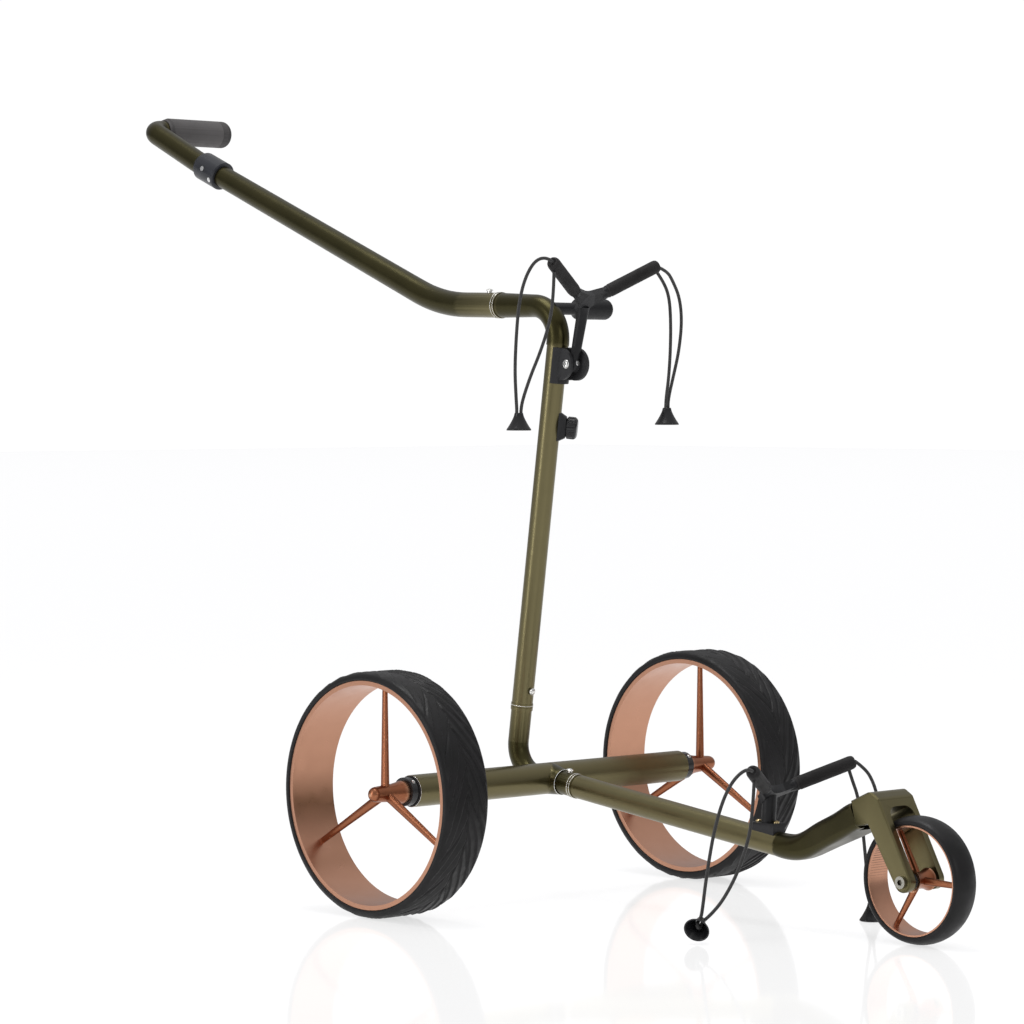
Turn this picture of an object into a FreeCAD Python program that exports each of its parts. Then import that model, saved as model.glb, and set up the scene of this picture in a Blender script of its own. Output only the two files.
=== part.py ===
import FreeCAD, Part
import math
import os
from FreeCAD import Vector

# Electric golf trolley: a tubular axle that holds the drive, a mast and a nose tube that pull out of it,
# a bent handle with a turning grip, two bag brackets with elastic cords, and three spoked wheels.
# Millimetres. X is across (the left wheel is +X), the front points to -Y and Z is up from the floor.
# Everything is drawn with the rear axle over Y = 0; save() moves it so that the origin lies on the floor
# under the middle of the whole trolley.

# Rear wheels
rear_radius = 145.0
rear_width = 68.0
rear_track = 539.6
rear_tyre_depth = 12.7
rear_rim_wall = 3.0
rear_shoulder = 9.0
rear_hub_radius = 13.5
rear_nose_reach = 24.0
rear_blade_root = 6.0
rear_blade_tip = 3.6

# Axle tube, drive and shafts
axle_radius = 19.15
axle_wall = 2.5
axle_half_length = 229.0
shaft_radius = 6.0
motor_length = 82.0
gearbox_length = 56.0
motor_inner_end = 58.0
collar_radius = 17.0
bearing_radius = 12.0
bearing_width = 8.0

# Mast, nose tube, handle
mast_radius = 13.0
mast_lean = 8.0
mast_joint = Vector(0, 47.0, 230.6)
mast_corner_height = 722.0
elbow_radius = 14.0
elbow_bend_radius = 41.0
elbow_drop = 48.0
stub_bend_radius = 36.0
stub_corner_height = 152.0
nose_radius = 14.3
nose_slope = 7.44
nose_joint_reach = 48.0
nose_length = 385.0
tube_wall = 2.5
handle_radius = 15.5
handle_end_radius = 14.25
handle_run_slope = 1.5
handle_slope = 22.47
handle_joint_reach = 86.0
handle_corner_reach = 192.2
handle_bend_radius = 240.0
handle_length = 485.0
ring_length = 4.0
ring_wall = 0.7

# Turning grip
clamp_length = 45.0
clamp_radius = 19.0
hook_radius = 14.5
hook_reach = 142.0
hook_knee = 30.0
hook_rise = 2.9
hook_bend_radius = 16.0
grip_radius = 18.25
grip_start = 20.0
grip_end = 111.7
dial_length = 18.0

# Beam and fork that carry the front wheel
wheelbase = 591.2
front_radius = 72.4
front_width = 36.1
front_tyre_depth = 9.1
front_rim_wall = 3.0
front_shoulder = 5.0
front_crown = 2.4
front_hub_radius = 12.9
front_hub_half = 14.0
front_axle_radius = 4.0
fork_half_width = 30.5
fork_gap_half = 20.5
fork_arch = 85.0
fork_lean = 29.5
beam_tilt = 24.7
beam_wall = 3.0

# Bag brackets
upper_pivot = Vector(0, -40.4, 651.4)
upper_hub = Vector(0, -61.0, 724.5)
lower_hub = Vector(0, -365.5, 152.0)
arm_radius = 5.5
sleeve_radius = 8.25
sleeve_start = 32.7
sleeve_length = 76.0
yoke_thickness = 10.0
eye_radius = 10.0
eye_half = 5.0
ear_radius = 19.5
ear_setback = 11.5
far_ear_radius = 20.0
ear_thickness = 4.5

# Knob, peg, cords
knob_height = 576.5
knob_radius = 13.8
knob_swing = 40.0
peg_height = 719.5
peg_radius = 12.8
peg_length = 97.5
peg_setback = 15.5
cord_radius = 2.0
cap_radius = 14.8
cap_height = 21.0
cap_bore = 6.7

# Clearances
running = 0.05
apart = 0.3
button_travel = 2.0

ACROSS = Vector(1, 0, 0)
UP = Vector(0, 0, 1)
rim_inner = rear_radius - rear_tyre_depth - rear_rim_wall
axle_bore = axle_radius - axle_wall
axle_centre = Vector(0, 0, rear_radius)
mast_line = Vector(0, -math.sin(math.radians(mast_lean)), math.cos(math.radians(mast_lean)))
mast_front = Vector(0, -mast_line.z, mast_line.y)
knob_line = FreeCAD.Rotation(mast_line, knob_swing).multVec(mast_front)
nose_line = Vector(0, -math.cos(math.radians(nose_slope)), -math.sin(math.radians(nose_slope)))
nose_top = Vector(0, nose_line.z, -nose_line.y)
run_line = Vector(0, math.cos(math.radians(handle_run_slope)), math.sin(math.radians(handle_run_slope)))
run_top = Vector(0, -run_line.z, run_line.y)
handle_line = Vector(0, math.cos(math.radians(handle_slope)), math.sin(math.radians(handle_slope)))
leg_line = Vector(0, math.sin(math.radians(fork_lean)), math.cos(math.radians(fork_lean)))
leg_front = Vector(0, -leg_line.z, leg_line.y)


def on_line(origin, direction, height):
    """The point of a leaning line at a given height."""
    return origin + direction * ((height - origin.z) / direction.z)


mast_corner = on_line(mast_joint, mast_line, mast_corner_height)
nose_joint = axle_centre + nose_line * nose_joint_reach
handle_joint = mast_corner + run_line * (handle_joint_reach - mast_corner.y)
handle_corner = handle_joint + run_line * (handle_corner_reach - handle_joint_reach)
clamp_base = handle_corner + handle_line * (handle_length - clamp_length / 2)
hook_base = clamp_base + handle_line * (clamp_length / 2 + apart)
hook_knee_point = hook_base + handle_line * hook_knee
hook_line = FreeCAD.Rotation(ACROSS, hook_rise).multVec(handle_line)
hook_corner = hook_knee_point + hook_line * (hook_reach - hook_knee)
front_centre = Vector(0, -wheelbase, front_radius)
peg_base = Vector(0, on_line(mast_joint, mast_line, peg_height).y + peg_setback, peg_height)

pieces = {}


# ---- drawing helpers ----

def dome(radius, base, rise):
    """The arc of a dome on the axis, as the middle and end points that outline() takes."""
    sphere = (radius ** 2 + rise ** 2) / (2 * rise)
    half = math.asin(radius / sphere) / 2
    return ((sphere * math.sin(half), base + rise - sphere * (1 - math.cos(half))), (0, base + rise))


def rod(base, direction, length, radius, bore=0.0):
    """A round bar or tube from base along direction."""
    bar = Part.makeCylinder(radius, length, base, direction)
    if bore:
        bar = bar.cut(Part.makeCylinder(bore, length, base, direction))
    return bar


def cone(base, direction, length, start, end):
    return Part.makeCone(start, end, length, base, direction)


def outline(start, *steps):
    """A closed face in the XZ plane. A step is the next point, or a middle and an end point of an arc."""
    def point(pair):
        return Vector(pair[0], 0, pair[1])
    edges = []
    here = point(start)
    for step in list(steps) + [start]:
        if isinstance(step[0], tuple):
            middle, end = point(step[0]), point(step[1])
            edges.append(Part.Arc(here, middle, end).toShape())
        else:
            end = point(step)
            edges.append(Part.makeLine(here, end))
        here = end
    return Part.Face(Part.Wire(edges))


def turned(face, base, axis):
    """The face's first coordinate is the radius, its second the distance along the axis from base."""
    solid = face.revolve(Vector(0, 0, 0), UP, 360)
    solid.Placement = FreeCAD.Placement(base, FreeCAD.Rotation(UP, axis))
    return solid


def tangent_path(points, radii):
    """Straight runs joined by tangent arcs, one radius for each inner point."""
    edges = []
    here = points[0]
    for before, corner, after, radius in zip(points, points[1:], points[2:], radii):
        back = (before - corner).normalize()
        onward = (after - corner).normalize()
        half = back.getAngle(onward) / 2
        start = corner + back * (radius / math.tan(half))
        end = corner + onward * (radius / math.tan(half))
        middle = corner + (back + onward).normalize() * (radius / math.sin(half) - radius)
        edges.append(Part.makeLine(here, start))
        edges.append(Part.Arc(start, middle, end).toShape())
        here = end
    edges.append(Part.makeLine(here, points[-1]))
    return Part.Wire(edges)


def swept(path, start, direction, radius):
    circle = Part.Wire([Part.makeCircle(radius, start, direction)])
    return path.makePipeShell([circle], True, False)


def bent_tube(points, radii, radius, bore):
    path = tangent_path(points, radii)
    direction = points[1] - points[0]
    outer = swept(path, points[0], direction, radius)
    return outer.cut(swept(path, points[0], direction, bore))


def keyway(base, direction, side, start, end, radius):
    """The slot that a lock button's pin slides in, open at the far end of a spigot."""
    width, floor = 9.6, radius - 5.0
    slot = Part.makeBox(width, 12.0, end - start)
    slot.translate(Vector(-width / 2, floor, 0))
    turn = FreeCAD.Rotation(direction.cross(side) * -1, side, direction, "ZYX")
    slot.Placement = FreeCAD.Placement(base + direction * start, turn).multiply(slot.Placement)
    return slot


def lock_button(base, side, tube_radius):
    """A domed button whose pin passes through the tube's wall; it travels inwards."""
    pin_start = tube_radius - tube_wall - 0.5
    face = outline((0, pin_start), (3.0, pin_start), (3.0, tube_radius + button_travel + 0.4),
                   (4.4, tube_radius + button_travel + 0.4), (4.4, tube_radius + 3.2),
                   dome(4.4, tube_radius + 3.2, 1.6))
    return turned(face, base, side)


def button_hole(base, side, tube_radius):
    return rod(base + side * (tube_radius - tube_wall - 3.0), side, tube_wall + 8.0, 3.0 + running)


def keep(name, *solids):
    pieces[name] = solids[0] if len(solids) == 1 else Part.makeCompound(list(solids))


# ---- wheels ----

def blades(centre, angles, root, tip, start, reach):
    """Rounded tapering spokes between the hub and the rim's inner face."""
    spokes = []
    for angle in angles:
        away = Vector(0, math.cos(math.radians(angle)), math.sin(math.radians(angle)))
        sections = []
        for distance, half_width in ((start, root), (reach + 2.0, tip)):
            middle = centre + away * distance
            ellipse = Part.Ellipse(middle + away.cross(ACROSS) * half_width,
                                   middle + ACROSS * (0.7 * half_width), middle)
            sections.append(Part.Wire([ellipse.toShape()]))
        spoke = Part.makeLoft(sections, True, True)
        limit = rod(centre - ACROSS * 20, ACROSS, 40, reach - running)
        spokes.append(spoke.common(limit))
    return spokes


def rim(centre, radius, wall, half_width, lip):
    face = outline((radius, -half_width), (radius + wall + lip, -half_width),
                   (radius + wall + lip, 2.0 - half_width), (radius + wall, 2.0 - half_width),
                   (radius + wall, half_width - 2.0), (radius + wall + lip, half_width - 2.0),
                   (radius + wall + lip, half_width), (radius, half_width))
    return turned(face, centre, ACROSS)


def tyre(centre, radius, seat, lip, seat_half, half_width, shoulder, crown):
    """A solid tyre with round shoulders; crown is how far its tread falls from the middle to them."""
    tread_half = half_width - shoulder
    bulge = 0.3 * shoulder
    steps = [(seat, seat_half), (seat + lip, seat_half), (seat + lip + 0.4, half_width - 0.8),
             (radius - crown - shoulder, half_width),
             ((radius - crown - bulge, half_width - bulge), (radius - crown, tread_half))]
    tread_end = (radius - crown, -tread_half)
    steps.append(((radius, 0.0), tread_end) if crown else tread_end)
    steps += [((radius - crown - bulge, bulge - half_width), (radius - crown - shoulder, -half_width)),
              (seat + lip + 0.4, 0.8 - half_width), (seat + lip, -seat_half)]
    return turned(outline((seat, -seat_half), *steps), centre, ACROSS)


def rear_wheel(name, side):
    outward = Vector(side, 0, 0)
    centre = axle_centre + outward * (rear_track / 2)
    inner = axle_half_length + 2.0 + 0.5 + 9.5 + 0.4 - rear_track / 2
    hub_face = outline((0, inner), (rear_hub_radius, inner), (rear_hub_radius, inner + 4.0),
                       ((11.2, inner + 16.0), (10.2, 0.0)), (9.0, rear_nose_reach - 8.0),
                       dome(9.0, rear_nose_reach - 8.0, 8.0))
    hub = turned(hub_face, centre, outward)
    spokes = blades(centre, (90, 210, 330), rear_blade_root, rear_blade_tip, shaft_radius + 1.0, rim_inner)
    spider = hub
    for spoke in spokes:
        spider = spider.fuse(spoke)
    bore = rod(centre + outward * inner, outward, 10.5 - inner, shaft_radius + running)
    keep(name + "_spider", spider.cut(bore))
    keep(name + "_rim", rim(centre, rim_inner, rear_rim_wall, rear_width / 2 - 2.0, 2.2))
    seat = rim_inner + rear_rim_wall
    keep(name + "_tyre", tyre(centre, rear_radius, seat, 2.2, rear_width / 2 - 4.0, rear_width / 2,
                               rear_shoulder, 0.0))


def front_wheel():
    inner = front_radius - front_tyre_depth - front_rim_wall
    face = outline((0, -front_hub_half), (front_hub_radius, -front_hub_half), ((9.6, 0.0),
                   (front_hub_radius, front_hub_half)), (0, front_hub_half))
    hub = turned(face, front_centre, ACROSS)
    spider = hub
    for spoke in blades(front_centre, (62, 182, 302), 4.6, 3.2, 7.0, inner):
        spider = spider.fuse(spoke)
    spider = spider.cut(rod(front_centre - ACROSS * front_hub_half, ACROSS, 2 * front_hub_half, 6.0))
    bearings = []
    for side in (-1, 1):
        face_x = front_centre + ACROSS * (side * front_hub_half)
        inward = ACROSS * -side
        spider = spider.cut(rod(face_x, inward, 6.0, 10.0))
        bearings.append(rod(face_x, inward, 6.0, 10.0, front_axle_radius + running))
    keep("front_spider", spider)
    keep("front_wheel_bearings", *bearings)
    keep("front_rim", rim(front_centre, inner, front_rim_wall, front_width / 2 - 2.0, 1.5))
    keep("front_tyre", tyre(front_centre, front_radius, inner + front_rim_wall, 1.5,
                            front_width / 2 - 4.0, front_width / 2, front_shoulder, front_crown))


# ---- axle and drive ----

def drive(name, side):
    """The output shaft with its coupling collar, and the sprung catch that holds the wheel on."""
    outward = Vector(side, 0, 0)
    flange_end = axle_half_length + 2.0
    start = motor_inner_end + motor_length + gearbox_length / 2
    shaft = rod(axle_centre + outward * (start + apart), outward, 280.0 - start - apart, shaft_radius)
    collar_start = axle_centre + outward * (flange_end + 0.5)
    collar = rod(collar_start, outward, 9.5, collar_radius)
    away = Vector(0, -1, 1).normalize()
    catch_base = collar_start + outward * 4.75
    hole = rod(catch_base + away * 11.0, away, 12.0, 2.5 + running)
    keep(name + "_drive_shaft", shaft.fuse(collar).cut(hole))
    face = outline((0, 13.4), (2.5, 13.4), (2.5, collar_radius + 1.0), dome(2.5, collar_radius + 1.0, 1.4))
    keep(name + "_wheel_catch", turned(face, catch_base, away))


def axle():
    length = 2 * axle_half_length
    keep("axle_tube", rod(axle_centre - ACROSS * axle_half_length, ACROSS, length, axle_radius, axle_bore))
    motors, gearboxes, caps, bearings = [], [], [], []
    body_radius = axle_bore - apart
    for side in (-1, 1):
        outward = Vector(side, 0, 0)
        motor_base = axle_centre + outward * motor_inner_end
        motor = rod(motor_base, outward, motor_length, body_radius)
        groove = rod(motor_base + outward * 12, outward, 3.0, body_radius + 1, body_radius - 1.2)
        motors.append(motor.cut(groove))
        gearbox_base = motor_base + outward * motor_length
        gearbox = rod(gearbox_base, outward, gearbox_length, body_radius)
        bore = rod(gearbox_base + outward * (gearbox_length / 2), outward, gearbox_length / 2,
                   shaft_radius + running)
        gearboxes.append(gearbox.cut(bore))
        end = axle_centre + outward * axle_half_length
        cap = rod(end - outward * 26.0, outward, 26.0, axle_bore - running)
        cap = cap.fuse(rod(end, outward, 2.0, axle_radius - 1.0))
        cap = cap.cut(rod(end - outward * 26.0, outward, 28.0, shaft_radius + 1.0))
        keep_space = rod(end - outward * 26.0, outward, bearing_width, bearing_radius)
        caps.append(cap.cut(keep_space))
        bearings.append(rod(end - outward * 26.0, outward, bearing_width, bearing_radius,
                            shaft_radius + running))
    keep("drive_motors", *motors)
    keep("drive_gearboxes", *gearboxes)
    keep("end_caps", *caps)
    keep("axle_bearings", *bearings)


def controller():
    """The motor controller, a narrow board along the bottom of the axle tube with its large parts."""
    drop = 10.0
    half_width = math.sqrt(axle_bore ** 2 - (drop + 1.6) ** 2) - apart
    board = Part.makeBox(96.0, 2 * half_width, 1.6, axle_centre + Vector(-48, -half_width, -drop - 1.6))
    for x in (-30.0, -10.0):
        board = board.fuse(rod(axle_centre + Vector(x, 0, -drop), UP, 12.0, 5.0))
    board = board.fuse(Part.makeBox(30, 14, 8, axle_centre + Vector(8, -7, -drop)))
    keep("controller_board", board)


def battery_socket():
    base = axle_centre + Vector(36.0, 0, 0)
    back = Vector(0, 1, 0)
    body = rod(base, back, axle_radius + 14.0, 11.0)
    body = body.fuse(rod(base, back, axle_radius + 3.0, 14.0))
    body = body.cut(rod(base - ACROSS * 20, ACROSS, 40, axle_radius + running))
    keep("battery_socket", body.cut(rod(base + back * (axle_radius + 2.0), back, 12.0, 6.0)))


# ---- stubs on the axle ----

def stubs():
    axle_core = rod(axle_centre - ACROSS * 60, ACROSS, 120, axle_radius + running)
    bore = mast_radius - tube_wall
    corner = on_line(mast_joint, mast_line, stub_corner_height)
    top = mast_joint - mast_line * (apart / 2)
    points = [top, corner, axle_centre + Vector(0, 4.0, 0)]
    stub = bent_tube(points, [stub_bend_radius], mast_radius - 0.2, bore).cut(axle_core)
    lower, upper = -36.0, 72.0
    spigot = rod(mast_joint + mast_line * lower, mast_line, upper - lower, bore - running, bore - 3.5)
    spigot = spigot.cut(keyway(mast_joint, mast_line, mast_front, 12.0, upper + 1.0, bore))
    seat = rod(mast_joint + mast_line * lower, mast_line, 8.0, bore, bore - 3.5)
    keep("mast_stub", stub.fuse(seat).fuse(spigot))

    bore = nose_radius - tube_wall
    saddle = cone(axle_centre, nose_line, 26.0, nose_radius + 5.5, nose_radius + 1.2)
    stub = saddle.fuse(rod(axle_centre, nose_line, nose_joint_reach - apart / 2, nose_radius))
    stub = stub.cut(rod(axle_centre, nose_line, nose_joint_reach + 5, bore)).cut(axle_core)
    button_base = nose_joint - nose_line * 13.0
    keep("front_stub", stub.cut(button_hole(button_base, nose_top, nose_radius)))
    keep("front_lock_button", lock_button(button_base, nose_top, nose_radius))

    lower_ring = rod(top - mast_line * ring_length, mast_line, ring_length,
                     mast_radius + ring_wall, mast_radius - 0.2)
    front_ring = rod(nose_joint - nose_line * (apart / 2 + ring_length), nose_line, ring_length,
                     nose_radius + ring_wall, nose_radius)
    keep("stub_rings", lower_ring, front_ring)


# ---- nose tube, beam and fork ----

def nose_tube():
    bore = nose_radius - tube_wall
    start = nose_joint + nose_line * (apart / 2)
    length = nose_length - nose_joint_reach - apart / 2
    tube = rod(start, nose_line, length, nose_radius, bore)
    back = nose_joint_reach - axle_radius - 1.0
    spigot = rod(nose_joint - nose_line * back, nose_line, back + 45.0, bore - running, bore - 3.5)
    seat = rod(nose_joint + nose_line * 37.0, nose_line, 8.0, bore, bore - 3.5)
    slot = keyway(nose_joint, nose_line * -1, nose_top, 9.0, back + 1.0, bore)
    keep("front_tube", tube.fuse(seat).fuse(spigot.cut(slot)))
    keep("front_ring", rod(start, nose_line, ring_length, nose_radius + ring_wall, nose_radius))


def section(reach, height, tilt, width, depth, corner):
    """A rounded rectangle across the beam; reach is forward of the axle and tilt is the beam's rise."""
    rise = Vector(0, math.sin(math.radians(tilt)), math.cos(math.radians(tilt)))
    middle = Vector(0, -reach, height)
    corners = ((1, 1), (-1, 1), (-1, -1), (1, -1))
    diagonal = math.sqrt(0.5)
    edges = []
    arcs = []
    for sx, sz in corners:
        pin = middle + ACROSS * (sx * (width / 2 - corner)) + rise * (sz * (depth / 2 - corner))
        ends = [pin + ACROSS * (sx * corner), pin + rise * (sz * corner)]
        if sx * sz < 0:
            ends.reverse()
        bulge = pin + (ACROSS * sx + rise * sz) * (corner * diagonal)
        arcs.append((ends[0], bulge, ends[1]))
    for this, following in zip(arcs, arcs[1:] + arcs[:1]):
        edges.append(Part.Arc(*this).toShape())
        edges.append(Part.makeLine(this[2], following[0]))
    return Part.Wire(edges)


def beam_and_fork():
    end = axle_centre + nose_line * nose_length
    stations = ((-end.y, end.z, -nose_slope, 2 * nose_radius, 2 * nose_radius, nose_radius - 0.5),
                (396.0, 93.7, -2.0, 29.0, 29.4, 13.0),
                (410.0, 94.4, 5.0, 29.8, 30.2, 12.0),
                (424.0, 97.8, 14.0, 31.4, 31.0, 10.5),
                (437.0, 103.2, 22.0, 33.6, 31.0, 9.0),
                (446.0, 107.6, beam_tilt, 36.0, 31.0, 8.0),
                (470.0, 118.65, beam_tilt, 43.6, 31.0, 7.7),
                (495.0, 130.15, beam_tilt, 51.4, 31.0, 7.3),
                (519.0, 141.2, beam_tilt, 59.0, 31.0, 7.0))
    outer = Part.makeLoft([section(*s) for s in stations], True, False)
    thin = 2 * beam_wall
    inner = Part.makeLoft([section(r, h, t, w - thin, d - thin, max(c - beam_wall, 2.0))
                           for r, h, t, w, d, c in stations], True, False)

    def leg(along, ahead):
        return front_centre + leg_line * along + leg_front * ahead
    rise = math.radians(beam_tilt)
    back_top = Vector(0, -515.0, 157.6)
    ridge = back_top + Vector(0, -math.cos(rise), math.sin(rise)) * 31.5
    back_foot = Vector(0, -522.0, 129.0)
    shoulder = leg(96, 14.5)
    heel = 12.0
    corners = [leg(0, heel), shoulder, ridge, back_top, back_foot, leg(78, -14.5), leg(0, -heel)]
    edges = [Part.makeLine(a, b) for a, b in zip(corners, corners[1:])]
    edges.append(Part.Arc(corners[-1], leg(-heel, 0), corners[0]).toShape())
    plate = Part.Face(Part.Wire(edges))
    plate.translate(ACROSS * -fork_half_width)
    crown = plate.extrude(ACROSS * (2 * fork_half_width))
    outer_edges = [e for e in crown.Edges
                   if abs(e.BoundBox.XMin - e.BoundBox.XMax) < 0.01]
    crown = crown.makeChamfer(1.8, outer_edges)
    crown = soften_top(crown, (ridge, shoulder))
    arch = Part.makeBox(2 * fork_gap_half, 80, fork_arch + 40)
    arch.translate(Vector(-fork_gap_half, -40, -40))
    tops = [e for e in arch.Edges if e.BoundBox.YLength > 79 and e.CenterOfMass.z > fork_arch - 1]
    arch = arch.makeFillet(13.0, tops)
    lean = FreeCAD.Placement(front_centre, FreeCAD.Rotation(ACROSS, -fork_lean))
    arch.Placement = lean.multiply(arch.Placement)
    whole = outer.cut(inner).fuse(crown).cut(arch)
    whole = whole.cut(rod(front_centre - ACROSS * 40, ACROSS, 80, front_axle_radius + running))
    keep("front_beam", whole)


def soften_top(crown, corners):
    """Rounds the crown's top and front edges."""
    near = [e for e in crown.Edges if e.BoundBox.XLength > 2 * fork_half_width - 8
            and e.BoundBox.YLength < 0.01 and min(abs(e.CenterOfMass.y - c.y) for c in corners) < 1.5]
    return crown.makeFillet(11.0, near)


def front_axle():
    keep("front_axle", rod(front_centre - ACROSS * fork_half_width, ACROSS, 2 * fork_half_width,
                           front_axle_radius, 2.5))
    bolts, spacers = [], []
    for side in (-1, 1):
        outward = ACROSS * side
        face = front_centre + outward * fork_half_width
        head = rod(face, outward, 3.6, 7.0).fuse(rod(face - outward * 14.0, outward, 14.0, 2.5))
        socket = Part.Face(Part.makePolygon([face + outward * 1.4 + Vector(
            0, 3.6 * math.cos(math.radians(60 * i)), 3.6 * math.sin(math.radians(60 * i)))
            for i in range(7)])).extrude(outward * 4.0)
        bolts.append(head.cut(socket))
        start = front_centre + outward * (front_hub_half + apart)
        spacers.append(rod(start, outward, fork_gap_half - front_hub_half - apart, 7.5,
                           front_axle_radius + running))
    keep("front_axle_bolts", *bolts)
    keep("front_axle_spacers", *spacers)


# ---- bag brackets ----

def yoke(hub, arm, stem_length, stem_half, web):
    """A flat Y with softened corners in the plane of arm, the left arm's line; web fills its valley."""
    slope = Vector(0, arm.y, arm.z)
    spread = slope.Length
    slope.normalize()
    reach = sleeve_start - 2.0
    half = arm_radius

    def flat(across, up):
        return hub + ACROSS * across + slope * up

    def beside(distance, offset):
        return (arm.x * distance - spread * offset, spread * distance + arm.x * offset)
    valley = half / arm.x + web
    crotch_distance = (stem_half - spread * half) / arm.x
    right_side = [(stem_half, -stem_length), beside(crotch_distance, -half), beside(reach, -half),
                  beside(reach, half), (0, valley)]
    left_side = [(-x, z) for x, z in reversed(right_side[:-1])]
    corners = [flat(x, z) for x, z in right_side + left_side]
    face = Part.Face(Part.makePolygon(corners + corners[:1]))
    normal = ACROSS.cross(slope)
    face.translate(normal * (-yoke_thickness / 2))
    body = face.extrude(normal * yoke_thickness)
    for x, z, radius in ((0, valley, 20.0), (right_side[1][0], right_side[1][1], 15.0),
                         (-right_side[1][0], right_side[1][1], 15.0)):
        edge = [e for e in body.Edges if (e.CenterOfMass - flat(x, z)).Length < 0.5]
        body = body.makeFillet(radius, edge)
    for side in (1, -1):
        line = Vector(arm.x * side, arm.y, arm.z)
        body = body.fuse(rod(hub + line * (sleeve_start - 3.0), line, sleeve_length - 12.0, arm_radius))
        body = body.fuse(cone(hub + line * (sleeve_start - 8.0), line, 8.0, arm_radius, 7.4))
    return body


def sleeves(hub, arm, length):
    """Soft sleeves over the bracket's arms, closed at the end, with a hole through which the cord runs."""
    tubes = []
    for side in (1, -1):
        line = Vector(arm.x * side, arm.y, arm.z)
        start = hub + line * sleeve_start
        face = outline((0, 0), (7.6, 0), (sleeve_radius, 1.2), (sleeve_radius, length - 4.0),
                       ((sleeve_radius - 1.3, length - 1.2), (sleeve_radius - 4.2, length)), (0, length))
        tube = turned(face, start, line)
        tubes.append(tube.cut(rod(hub + line * (sleeve_start - 1), line, sleeve_length - 14.0, arm_radius)))
    return tubes


upper_arm = Vector(0.832, -0.342, 0.437).normalize()
lower_arm = Vector(0.807, -0.487, 0.333).normalize()


def upper_bracket():
    body = yoke(upper_hub, upper_arm, 12.0, 6.0, 8.0)
    foot = upper_pivot + Vector(0, -3.0, 0)
    stem = cone(foot, upper_hub - foot, (upper_hub - foot).Length - 4.0, 5.8, 7.2)
    stem = stem.common(Part.makeBox(2 * eye_half, 80, 120, foot + Vector(-eye_half, -60, -20)).fuse(
        Part.makeBox(40, 80, 120, foot + Vector(-20, -60, ear_radius + 2))))
    eye = rod(upper_pivot - ACROSS * eye_half, ACROSS, 2 * eye_half, eye_radius)
    body = body.fuse(stem).fuse(eye)
    bore = rod(upper_pivot - ACROSS * (eye_half + 1), ACROSS, 2 * eye_half + 2, 4.0 + running)
    keep("upper_bracket", body.cut(bore))
    keep("upper_sleeves", *sleeves(upper_hub, upper_arm, sleeve_length))


def mast_clamp():
    """A saddle round the front of the mast with two round ears that hold the bracket's eye."""
    middle = on_line(mast_joint, mast_line, upper_pivot.z)
    gap_half = eye_half + apart
    outer = gap_half + ear_thickness
    saddle = rod(middle - mast_line * 22.0, mast_line, 44.0, mast_radius + 5.0)
    saddle = saddle.fuse(rod(upper_pivot + Vector(-outer, ear_setback, 0), ACROSS, 2 * outer, ear_radius))
    saddle = saddle.fuse(rod(upper_pivot + ACROSS * gap_half, ACROSS, ear_thickness, far_ear_radius))
    turn = FreeCAD.Rotation(ACROSS * -1, mast_front, mast_line, "ZYX")
    front_part = Part.makeBox(60, 60, 80, Vector(-30, mast_radius - 4.5, -40))
    front_part.Placement = FreeCAD.Placement(middle, turn).multiply(front_part.Placement)
    saddle = saddle.common(front_part)
    saddle = saddle.cut(rod(middle - mast_line * 50, mast_line, 100, mast_radius + running))
    slot = Part.makeBox(2 * gap_half, 60, 60, upper_pivot + Vector(-gap_half, eye_radius + apart - 60, -30))
    saddle = saddle.cut(slot).cut(rod(upper_pivot - ACROSS * 20, ACROSS, 40, 4.0))
    keep("mast_clamp", saddle)
    bolt = rod(upper_pivot - ACROSS * outer, ACROSS, 2 * outer, 4.0)
    face = outline((0, 0), (5.5, 0), (5.5, 2.0), ((4.6, 3.2), (3.2, 3.4)), (0, 3.4))
    for side in (-1, 1):
        bolt = bolt.fuse(turned(face, upper_pivot + ACROSS * (side * outer), ACROSS * side))
    keep("pivot_bolt", bolt)


def lower_bracket():
    crown_point = axle_centre + nose_line * (-lower_hub.y / -nose_line.y)
    body = yoke(lower_hub, lower_arm, 11.0, 8.5, 0.0)
    post_foot = Vector(0, lower_hub.y + 3.5, crown_point.z)
    post = rod(post_foot, lower_hub - post_foot, (lower_hub - post_foot).Length + 1.0, 8.5)
    foot = Part.makeBox(20, 36, 22, Vector(-10, post_foot.y - 18, crown_point.z))
    tube = rod(axle_centre, nose_line, nose_length + 5, nose_radius + running)
    body = body.fuse(post).fuse(foot).cut(tube)
    keep("lower_bracket", body)
    screws = []
    for y in (post_foot.y + 13.8, post_foot.y - 13.8):
        top = crown_point.z + 22.0
        face = outline((0, 0), (3.6, 0), (3.6, 1.6), dome(3.6, 1.6, 1.2))
        screws.append(turned(face, Vector(0, y, top), UP))
    keep("lower_bracket_screws", *screws)
    keep("lower_sleeves", *sleeves(lower_hub, lower_arm, sleeve_length))


# ---- mast and elbow ----

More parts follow.
